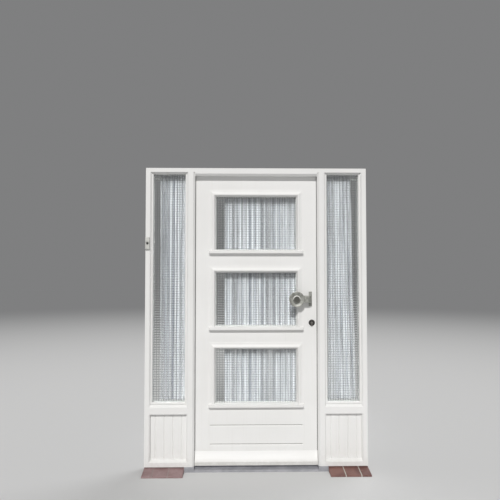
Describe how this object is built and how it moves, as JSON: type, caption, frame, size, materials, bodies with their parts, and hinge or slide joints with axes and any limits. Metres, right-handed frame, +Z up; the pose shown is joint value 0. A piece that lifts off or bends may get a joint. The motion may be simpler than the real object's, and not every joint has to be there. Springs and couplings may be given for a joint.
{
  "type": "panelled front door",
  "caption": "Front door in its timber frame: a white leaf with stacked patterned panes, side bays with glass over boarding, a stone threshold and clay sill tiles.",
  "frame": {"origin": "middle of the threshold at the outer face line of the frame, on its underside", "axes": "+X to the right seen from outside, +Y into the house, +Z up"},
  "size_m": [1.534, 0.248, 2.086],
  "materials": {
    "white_paint": "warm white satin paint on timber, faint brush marks",
    "bead_paint": "white satin paint on small mouldings and beads",
    "patterned_glass": "clear glass embossed with small squares",
    "step_stone": "blue-grey cast stone, honed and slightly worn",
    "clay_tile": "dark red-brown unglazed clay tile",
    "mortar": "pale pointing mortar",
    "rubber_seal": "black extruded seal",
    "satin_steel": "satin stainless steel",
    "knob_metal": "satin anodised metal, slightly greyed",
    "dark_rose": "dark bronzed steel",
    "cylinder_brass": "nickelled brass, worn",
    "bell_plastic": "off-white moulded plastic, slightly greyed",
    "bell_dark": "black push button",
    "net_fabric": "white woven net",
    "rod_metal": "thin white enamelled rod"
  },
  "bodies": {
    "frame": {"jamb_left": "white_paint", "mullion_left": "white_paint", "bottom_rail_left": "white_paint", "transom_left": "white_paint", "boarding_left": "white_paint", "side_glass_left": "patterned_glass", "side_beads_left": "bead_paint", "plinth_block_left": "step_stone", "sill_tiles_left": "clay_tile", "tile_joints_left": "mortar", "bay_rod_left": "rod_metal", "bay_curtain_left": "net_fabric", "jamb_right": "white_paint", "mullion_right": "white_paint", "bottom_rail_right": "white_paint", "transom_right": "white_paint", "boarding_right": "white_paint", "side_glass_right": "patterned_glass", "side_beads_right": "bead_paint", "plinth_block_right": "step_stone", "sill_tiles_right": "clay_tile", "tile_joints_right": "mortar", "bay_rod_right": "rod_metal", "bay_curtain_right": "net_fabric", "head_rail": "white_paint", "threshold": "step_stone", "door_seal": "rubber_seal", "hinge_plates_frame": "satin_steel", "hinge_pins": "satin_steel", "strike_plate": "satin_steel", "bell_box": "bell_plastic"},
    "leaf": {"leaf_slab": "white_paint", "weather_bar": "white_paint", "hinge_plates_leaf": "satin_steel", "mortise_lock": "satin_steel", "lock_cylinder": "cylinder_brass", "lock_rose": "dark_rose", "handle_plate": "satin_steel", "knob_plate": "knob_metal", "knob_screws": "knob_metal", "pull_knob": "knob_metal", "leaf_rod": "rod_metal", "leaf_curtain": "net_fabric", "pane_moulding_lower": "bead_paint", "pane_sill_lower": "bead_paint", "pane_glass_lower": "patterned_glass", "inner_beads_lower": "bead_paint", "pane_moulding_middle": "bead_paint", "pane_sill_middle": "bead_paint", "pane_glass_middle": "patterned_glass", "inner_beads_middle": "bead_paint", "pane_moulding_upper": "bead_paint", "pane_sill_upper": "bead_paint", "pane_glass_upper": "patterned_glass", "inner_beads_upper": "bead_paint"},
    "lever": {"lever": "satin_steel"},
    "thumb_turn": {"thumb_turn": "satin_steel"},
    "dead_bolt": {"dead_bolt": "satin_steel"},
    "latch_bolt": {"latch_bolt": "satin_steel"},
    "bell_button": {"bell_button": "bell_dark"}
  },
  "joints": [
    {"name": "leaf_swing", "type": "hinge", "parent": "frame", "child": "leaf", "pos_m": [-0.4415, 0.0965, 1.05], "axis": [0, 0, 1], "range_deg": [0, 110]},
    {"name": "lever_press", "type": "hinge", "parent": "leaf", "child": "lever", "pos_m": [0.39, 0.1, 1.099], "axis": [0, -1, 0], "range_deg": [0, 40], "stiffness_Nm_per_rad": 0.6, "springref_deg": -34.38},
    {"name": "thumb_turn_spin", "type": "hinge", "parent": "leaf", "child": "thumb_turn", "pos_m": [0.39, 0.1, 1.007], "axis": [0, 1, 0], "range_deg": [0, 90]},
    {"name": "dead_bolt_throw", "type": "slide", "parent": "leaf", "child": "dead_bolt", "axis": [1, 0, 0], "range_m": [0, 0.02]},
    {"name": "latch_slide", "type": "slide", "parent": "leaf", "child": "latch_bolt", "axis": [1, 0, 0], "range_m": [0, 0.012]},
    {"name": "bell_press", "type": "slide", "parent": "frame", "child": "bell_button", "axis": [0, 1, 0], "range_m": [0, 0.0025], "stiffness_N_per_m": 400, "springref_m": -0.001}
  ],
  "couplings": [
    {"joint": "thumb_turn_spin", "follows": "dead_bolt_throw", "rad_per_m": 78.54}
  ]
}
